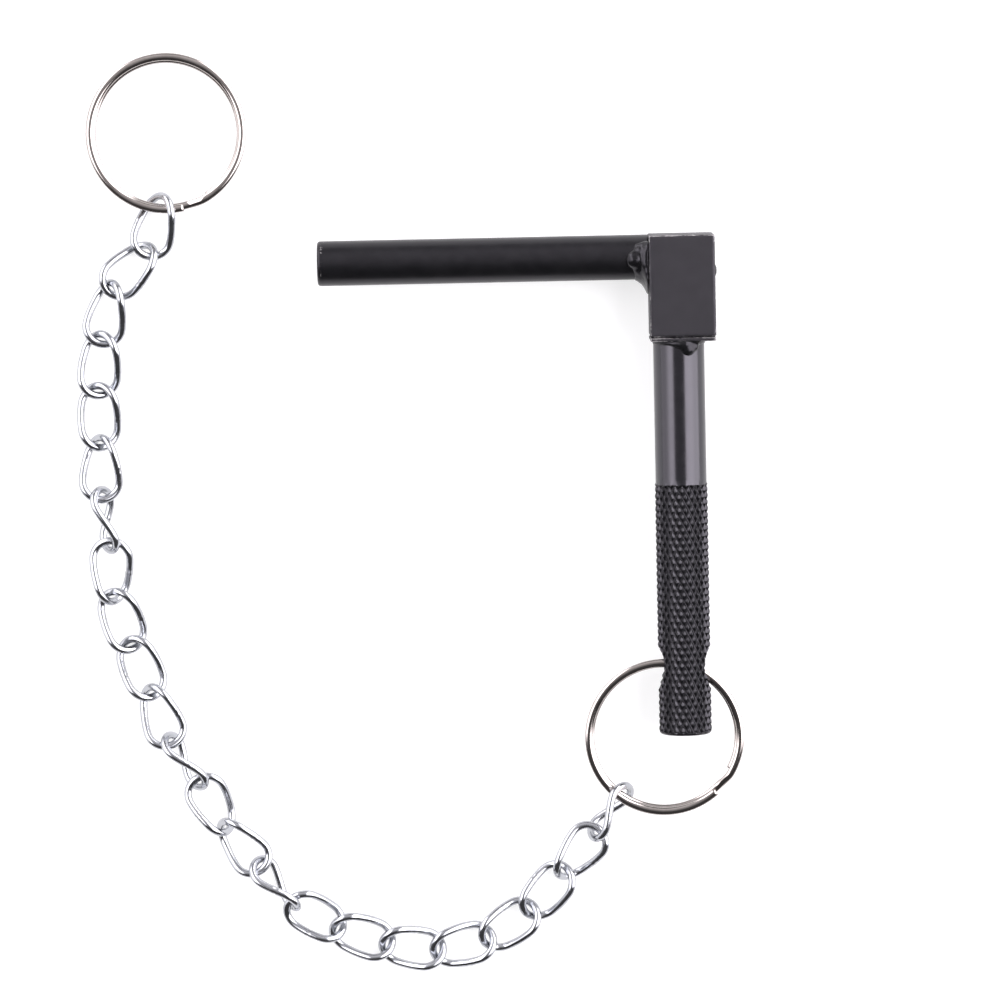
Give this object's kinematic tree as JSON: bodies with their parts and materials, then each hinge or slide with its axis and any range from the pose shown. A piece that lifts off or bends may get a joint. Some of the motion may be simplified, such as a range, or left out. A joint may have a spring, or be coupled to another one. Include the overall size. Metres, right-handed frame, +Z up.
{
  "type": "hitch pin lock",
  "caption": "Welded L-shaped hitch pin with a knurled handle rod, a split ring through its cross hole and a twisted-link chain ending in a second split ring.",
  "frame": {"origin": "on the block's resting face, below the point where the axes of the lock pin and the handle rod cross", "axes": "-X along the lock pin to its tip, -Y along the handle rod to its lower end, +Z up from the surface it lies on"},
  "size_m": [0.2067, 0.2901, 0.02],
  "materials": {
    "pin_paint": "satin black, chipped along the edges",
    "block_paint": "satin black with worn edges",
    "rod_paint": "satin black, knurled below",
    "weld_paint": "painted weld bead",
    "nickel": "nickel plated, warm grey",
    "zinc": "bright zinc plated"
  },
  "bodies": {
    "lock": {"lock_pin": "pin_paint", "corner_block": "block_paint", "end_plate": "block_paint", "handle_rod": "rod_paint", "pin_weld": "weld_paint", "rod_weld": "weld_paint", "side_weld": "weld_paint"},
    "handle_ring": {"handle_ring": "nickel"},
    "chain_link_23": {"chain_link_23": "zinc"},
    "chain_link_22": {"chain_link_22": "zinc"},
    "chain_link_21": {"chain_link_21": "zinc"},
    "chain_link_20": {"chain_link_20": "zinc"},
    "chain_link_19": {"chain_link_19": "zinc"},
    "chain_link_18": {"chain_link_18": "zinc"},
    "chain_link_17": {"chain_link_17": "zinc"},
    "chain_link_16": {"chain_link_16": "zinc"},
    "chain_link_15": {"chain_link_15": "zinc"},
    "chain_link_14": {"chain_link_14": "zinc"},
    "chain_link_13": {"chain_link_13": "zinc"},
    "chain_link_12": {"chain_link_12": "zinc"},
    "chain_link_11": {"chain_link_11": "zinc"},
    "chain_link_10": {"chain_link_10": "zinc"},
    "chain_link_09": {"chain_link_09": "zinc"},
    "chain_link_08": {"chain_link_08": "zinc"},
    "chain_link_07": {"chain_link_07": "zinc"},
    "chain_link_06": {"chain_link_06": "zinc"},
    "chain_link_05": {"chain_link_05": "zinc"},
    "chain_link_04": {"chain_link_04": "zinc"},
    "chain_link_03": {"chain_link_03": "zinc"},
    "chain_link_02": {"chain_link_02": "zinc"},
    "chain_link_01": {"chain_link_01": "zinc"},
    "anchor_ring": {"anchor_ring": "nickel"}
  },
  "joints": [
    {"name": "handle_ring_swing", "type": "hinge", "parent": "lock", "child": "handle_ring", "pos_m": [0, -0.1286, 0.01], "axis": [1, 0, 0], "range_deg": [-90, 90]},
    {"name": "link_23_swing", "type": "hinge", "parent": "handle_ring", "child": "chain_link_23", "pos_m": [-0.02083, -0.1696, 0.00688], "axis": [0.7917, -0.6109, 0], "range_deg": [-30, 30]},
    {"name": "link_22_swing", "type": "hinge", "parent": "chain_link_23", "child": "chain_link_22", "pos_m": [-0.03141, -0.18421, 0.00639], "axis": [0.1687, 0.0147, -0.9856], "range_deg": [-35, 15]},
    {"name": "link_21_swing", "type": "hinge", "parent": "chain_link_22", "child": "chain_link_21", "pos_m": [-0.03638, -0.19034, 0.00545], "axis": [0.5175, -0.5231, 0.6772], "range_deg": [-35, 35]},
    {"name": "link_20_swing", "type": "hinge", "parent": "chain_link_21", "child": "chain_link_20", "pos_m": [-0.05314, -0.20808, 0.00338], "axis": [0.2473, -0.3807, -0.891], "range_deg": [-35, 15]},
    {"name": "link_19_swing", "type": "hinge", "parent": "chain_link_20", "child": "chain_link_19", "pos_m": [-0.0598, -0.21241, 0.00338], "axis": [0.2473, -0.3807, 0.891], "range_deg": [-15, 35]},
    {"name": "link_18_swing", "type": "hinge", "parent": "chain_link_19", "child": "chain_link_18", "pos_m": [-0.08337, -0.21742, 0.00338], "axis": [-0.071, -0.4484, -0.891], "range_deg": [-35, 35]},
    {"name": "link_17_swing", "type": "hinge", "parent": "chain_link_18", "child": "chain_link_17", "pos_m": [-0.09122, -0.21618, 0.00338], "axis": [-0.071, -0.4484, 0.891], "range_deg": [-35, 35]},
    {"name": "link_16_swing", "type": "hinge", "parent": "chain_link_17", "child": "chain_link_16", "pos_m": [-0.11417, -0.20783, 0.0049], "axis": [-0.4229, -0.448, -0.7877], "range_deg": [-35, 35]},
    {"name": "link_15_swing", "type": "hinge", "parent": "chain_link_16", "child": "chain_link_15", "pos_m": [-0.1209, -0.2038, 0.00621], "axis": [-0.0153, -0.3319, 0.9432], "range_deg": [-10, 35]},
    {"name": "link_14_swing", "type": "hinge", "parent": "chain_link_15", "child": "chain_link_14", "pos_m": [-0.13757, -0.18601, 0.00649], "axis": [0.0371, -0.0985, -0.9944], "range_deg": [-35, 10]},
    {"name": "link_13_swing", "type": "hinge", "parent": "chain_link_14", "child": "chain_link_13", "pos_m": [-0.14266, -0.17995, 0.00569], "axis": [-0.643, -0.4596, 0.6126], "range_deg": [-35, 35]},
    {"name": "link_12_swing", "type": "hinge", "parent": "chain_link_13", "child": "chain_link_12", "pos_m": [-0.15528, -0.15898, 0.00688], "axis": [0.7031, 0.4742, -0.5299], "range_deg": [-35, 35]},
    {"name": "link_11_swing", "type": "hinge", "parent": "chain_link_12", "child": "chain_link_11", "pos_m": [-0.15972, -0.15239, 0.00688], "axis": [-0.7687, -0.5185, -0.3746], "range_deg": [-35, 35]},
    {"name": "link_10_swing", "type": "hinge", "parent": "chain_link_11", "child": "chain_link_10", "pos_m": [-0.16915, -0.12987, 0.00455], "axis": [-0.3887, -0.2498, -0.8868], "range_deg": [-35, 35]},
    {"name": "link_09_swing", "type": "hinge", "parent": "chain_link_10", "child": "chain_link_09", "pos_m": [-0.17211, -0.12253, 0.00378], "axis": [-0.4532, -0.0903, 0.8868], "range_deg": [-35, 35]},
    {"name": "link_08_swing", "type": "hinge", "parent": "chain_link_09", "child": "chain_link_08", "pos_m": [-0.17876, -0.0991, 0.00545], "axis": [-0.7327, 0.0688, -0.6771], "range_deg": [-35, 35]},
    {"name": "link_07_swing", "type": "hinge", "parent": "chain_link_08", "child": "chain_link_07", "pos_m": [-0.17889, -0.09121, 0.0064], "axis": [-0.1198, -0.1208, 0.9854], "range_deg": [-15, 35]},
    {"name": "link_06_swing", "type": "hinge", "parent": "chain_link_07", "child": "chain_link_06", "pos_m": [-0.18152, -0.06682, 0.0064], "axis": [-0.1219, -0.1187, -0.9854], "range_deg": [-35, 20]},
    {"name": "link_05_swing", "type": "hinge", "parent": "chain_link_06", "child": "chain_link_05", "pos_m": [-0.18152, -0.05893, 0.00545], "axis": [-0.7313, 0.0815, 0.6771], "range_deg": [-35, 35]},
    {"name": "link_04_swing", "type": "hinge", "parent": "chain_link_05", "child": "chain_link_04", "pos_m": [-0.18136, -0.03436, 0.00448], "axis": [-0.2842, 0.0929, -0.9542], "range_deg": [-30, 35]},
    {"name": "link_03_swing", "type": "hinge", "parent": "chain_link_04", "child": "chain_link_03", "pos_m": [-0.18054, -0.02647, 0.005], "axis": [-0.604, 0.0108, 0.7969], "range_deg": [-25, 20]},
    {"name": "link_02_swing", "type": "hinge", "parent": "chain_link_03", "child": "chain_link_02", "pos_m": [-0.17366, -0.00354, 0.00519], "axis": [-0.0977, 0.0755, -0.9923], "range_deg": [-35, 30]},
    {"name": "link_01_swing", "type": "hinge", "parent": "chain_link_02", "child": "chain_link_01", "pos_m": [-0.16785, 0.00188, 0.00504], "axis": [-0.4887, 0.5442, 0.6819], "range_deg": [-35, 10]},
    {"name": "anchor_ring_swing", "type": "hinge", "parent": "chain_link_01", "child": "anchor_ring", "pos_m": [-0.16096, 0.01809, 0.00495], "axis": [-0.9945, 0.1045, 0], "range_deg": [-25, 35]}
  ]
}
